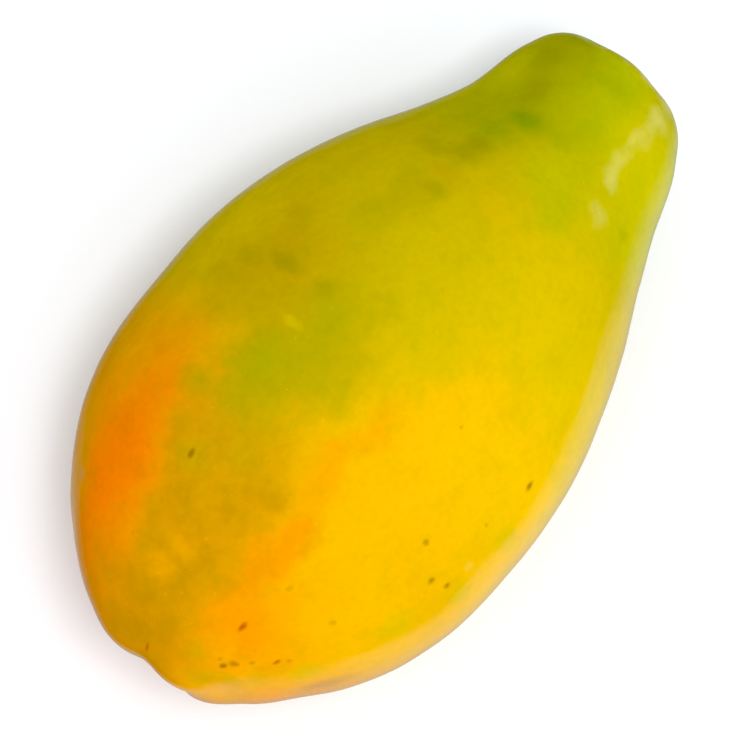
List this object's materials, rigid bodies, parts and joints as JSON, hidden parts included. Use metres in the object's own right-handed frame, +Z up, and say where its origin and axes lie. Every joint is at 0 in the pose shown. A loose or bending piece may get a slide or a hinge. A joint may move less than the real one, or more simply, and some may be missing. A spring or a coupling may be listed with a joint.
{
  "type": "papaya",
  "caption": "Whole ripening papaya lying on its side: pear-shaped, with a short blunt neck, soft lobes, a scarred stem end and a puckered blossom end, resting on a small flat spot.",
  "frame": {"origin": "centre of the bounding box on the surface that the fruit rests on", "axes": "+X along the fruit from the blossom end towards the stem end, +Z up, the fruit lying on its side at rest"},
  "size_m": [0.165, 0.097, 0.0973],
  "materials": {
    "skin": "satin"
  },
  "bodies": {
    "root": {"papaya": "skin"}
  },
  "joints": []
}
